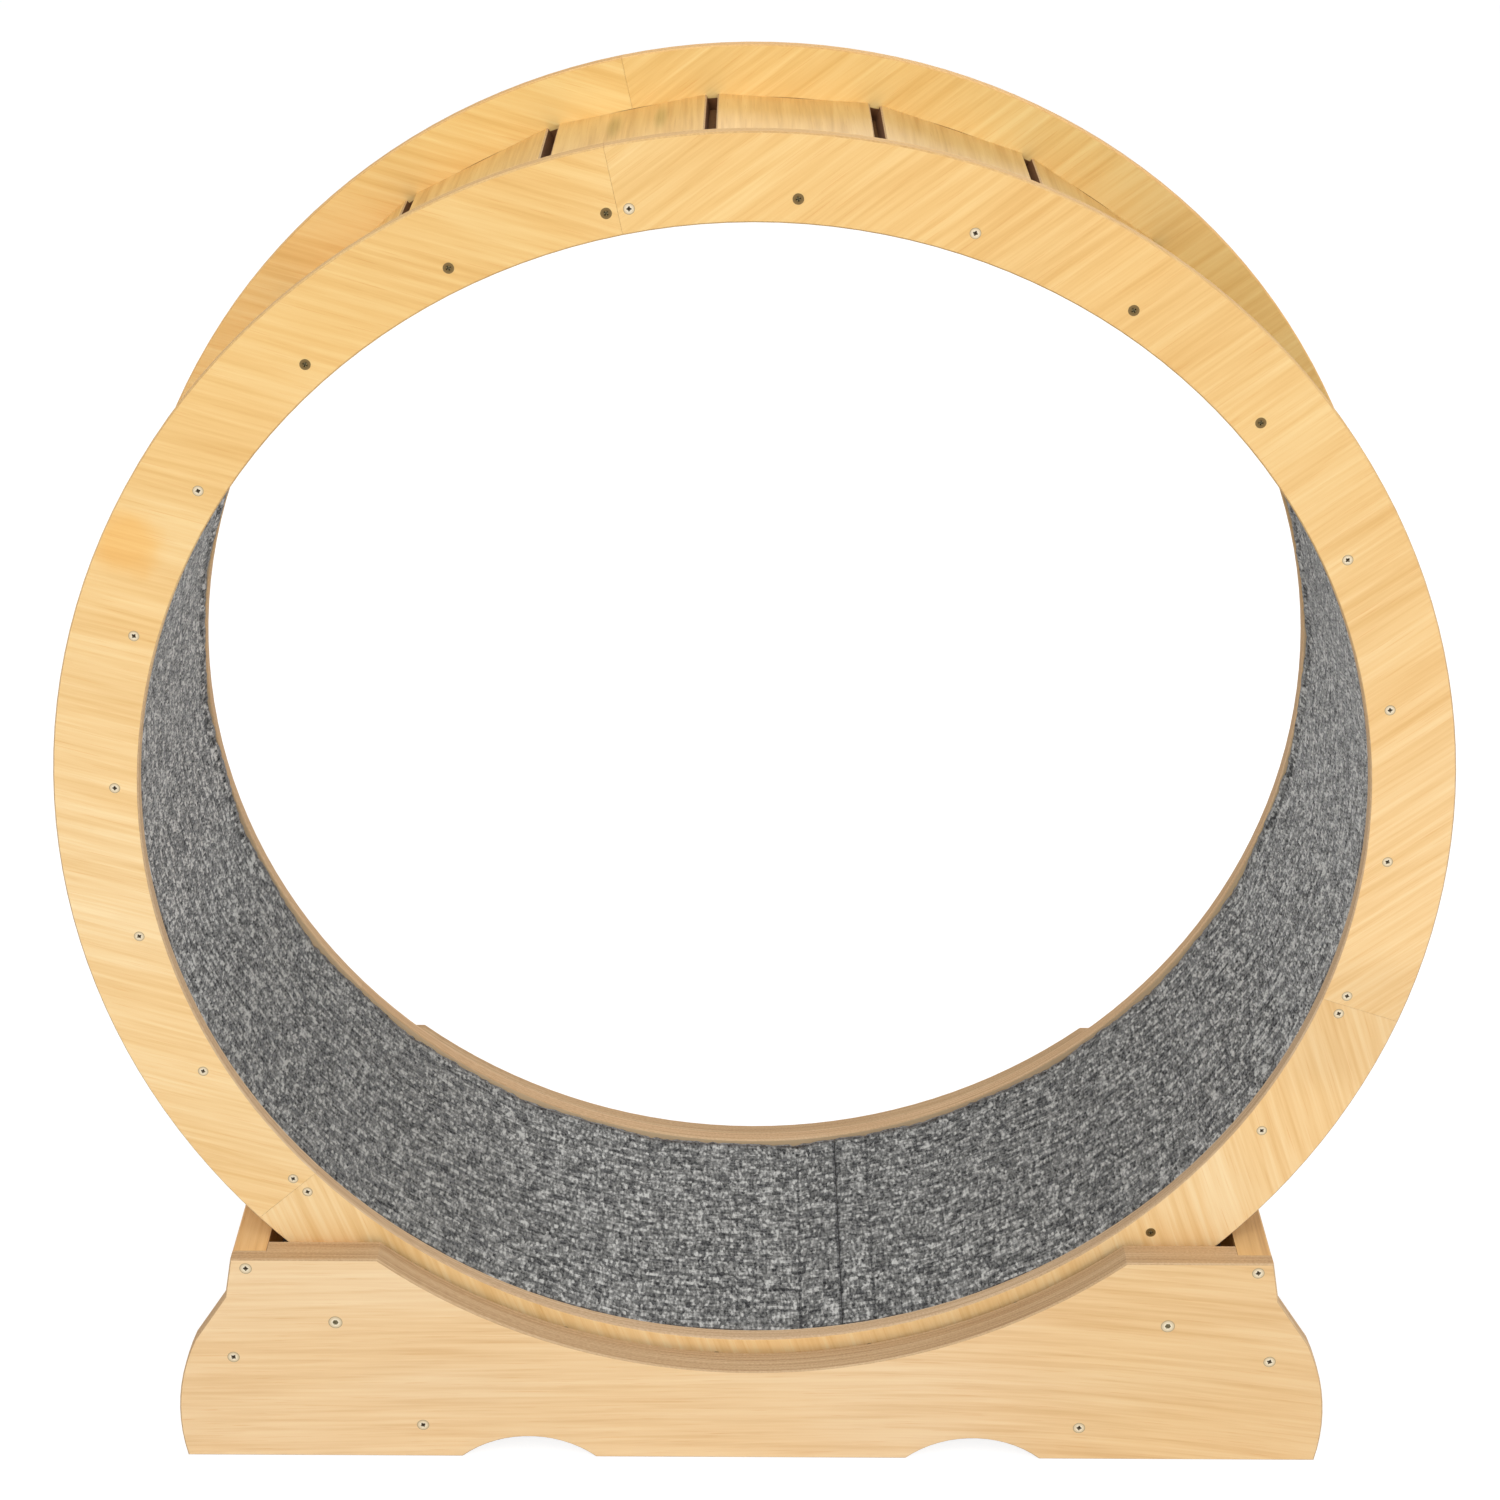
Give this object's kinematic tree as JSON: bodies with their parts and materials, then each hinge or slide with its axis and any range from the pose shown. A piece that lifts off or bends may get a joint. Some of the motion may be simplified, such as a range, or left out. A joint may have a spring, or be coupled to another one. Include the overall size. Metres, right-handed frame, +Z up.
{
  "type": "cat exercise wheel",
  "caption": "Large hubless wooden running wheel for a cat, lined with grey carpet, rolling on grooved rollers in a low open base.",
  "frame": {"origin": "on the floor under the middle of the wheel, at the bottom centre of the object's box", "axes": "+Z up; the wheel's axle line runs along Y and the front faces -Y; +X is to the right seen from the front"},
  "size_m": [0.9999, 0.36, 1.0294],
  "materials": {
    "ring_board": "fine straight-grained wood veneer, clear satin lacquer, raw tan edges",
    "slat_board": "fine straight-grained wood veneer, clear satin lacquer, raw tan edges",
    "panel_board": "fine straight-grained wood veneer, clear satin lacquer, raw tan edges",
    "solid_pine": "planed, clear satin lacquer",
    "carpet": "grey heather loop pile",
    "zinc_screws": "zinc plated",
    "bolt_steel": "zinc plated",
    "bearing_steel": "ground and polished",
    "roller_nylon": "matt moulded"
  },
  "bodies": {
    "base": {"front_outer_panel": "panel_board", "front_inner_panel": "panel_board", "back_outer_panel": "panel_board", "back_inner_panel": "panel_board", "left_end_board": "solid_pine", "right_end_board": "solid_pine", "left_crossbar": "solid_pine", "right_crossbar": "solid_pine", "panel_screws_front": "zinc_screws", "panel_screws_back": "zinc_screws", "axle_bolts": "bolt_steel", "axle_spacers": "bolt_steel", "lock_nuts": "bolt_steel", "bearing_inner_races": "bearing_steel"},
    "wheel": {"front_ring_segment_1": "ring_board", "front_ring_segment_2": "ring_board", "front_ring_segment_3": "ring_board", "back_ring_segment_1": "ring_board", "back_ring_segment_2": "ring_board", "back_ring_segment_3": "ring_board", "slat_01": "slat_board", "slat_02": "slat_board", "slat_03": "slat_board", "slat_04": "slat_board", "slat_05": "slat_board", "slat_06": "slat_board", "slat_07": "slat_board", "slat_08": "slat_board", "slat_09": "slat_board", "slat_10": "slat_board", "slat_11": "slat_board", "slat_12": "slat_board", "slat_13": "slat_board", "slat_14": "slat_board", "slat_15": "slat_board", "slat_16": "slat_board", "slat_17": "slat_board", "slat_18": "slat_board", "slat_19": "slat_board", "slat_20": "slat_board", "slat_21": "slat_board", "slat_22": "slat_board", "slat_23": "slat_board", "slat_24": "slat_board", "carpet_runner": "carpet", "ring_screws_front": "zinc_screws", "ring_screws_back": "zinc_screws"},
    "roller_front_left": {"roller_front_left": "roller_nylon", "bearing_outer_race_front_left": "bearing_steel"},
    "balls_front_left": {"bearing_balls_front_left": "bearing_steel"},
    "roller_front_right": {"roller_front_right": "roller_nylon", "bearing_outer_race_front_right": "bearing_steel"},
    "balls_front_right": {"bearing_balls_front_right": "bearing_steel"},
    "roller_back_left": {"roller_back_left": "roller_nylon", "bearing_outer_race_back_left": "bearing_steel"},
    "balls_back_left": {"bearing_balls_back_left": "bearing_steel"},
    "roller_back_right": {"roller_back_right": "roller_nylon", "bearing_outer_race_back_right": "bearing_steel"},
    "balls_back_right": {"bearing_balls_back_right": "bearing_steel"}
  },
  "joints": [
    {"name": "wheel_spin", "type": "hinge", "parent": "base", "child": "wheel", "pos_m": [0, 0, 0.5295], "axis": [0, 1, 0], "continuous": true},
    {"name": "roller_front_left_spin", "type": "hinge", "parent": "base", "child": "roller_front_left", "pos_m": [-0.31605, -0.145, 0.12352], "axis": [0, 1, 0], "continuous": true},
    {"name": "balls_front_left_spin", "type": "hinge", "parent": "base", "child": "balls_front_left", "pos_m": [-0.31605, -0.145, 0.12352], "axis": [0, 1, 0], "continuous": true},
    {"name": "roller_front_right_spin", "type": "hinge", "parent": "base", "child": "roller_front_right", "pos_m": [0.31605, -0.145, 0.12352], "axis": [0, 1, 0], "continuous": true},
    {"name": "balls_front_right_spin", "type": "hinge", "parent": "base", "child": "balls_front_right", "pos_m": [0.31605, -0.145, 0.12352], "axis": [0, 1, 0], "continuous": true},
    {"name": "roller_back_left_spin", "type": "hinge", "parent": "base", "child": "roller_back_left", "pos_m": [-0.31605, 0.145, 0.12352], "axis": [0, 1, 0], "continuous": true},
    {"name": "balls_back_left_spin", "type": "hinge", "parent": "base", "child": "balls_back_left", "pos_m": [-0.31605, 0.145, 0.12352], "axis": [0, 1, 0], "continuous": true},
    {"name": "roller_back_right_spin", "type": "hinge", "parent": "base", "child": "roller_back_right", "pos_m": [0.31605, 0.145, 0.12352], "axis": [0, 1, 0], "continuous": true},
    {"name": "balls_back_right_spin", "type": "hinge", "parent": "base", "child": "balls_back_right", "pos_m": [0.31605, 0.145, 0.12352], "axis": [0, 1, 0], "continuous": true}
  ],
  "couplings": [
    {"joint": "roller_front_left_spin", "follows": "wheel_spin", "ratio": -35.211},
    {"joint": "balls_front_left_spin", "follows": "wheel_spin", "ratio": -22.535},
    {"joint": "roller_front_right_spin", "follows": "wheel_spin", "ratio": -35.211},
    {"joint": "balls_front_right_spin", "follows": "wheel_spin", "ratio": -22.535},
    {"joint": "roller_back_left_spin", "follows": "wheel_spin", "ratio": -35.211},
    {"joint": "balls_back_left_spin", "follows": "wheel_spin", "ratio": -22.535},
    {"joint": "roller_back_right_spin", "follows": "wheel_spin", "ratio": -35.211},
    {"joint": "balls_back_right_spin", "follows": "wheel_spin", "ratio": -22.535}
  ]
}
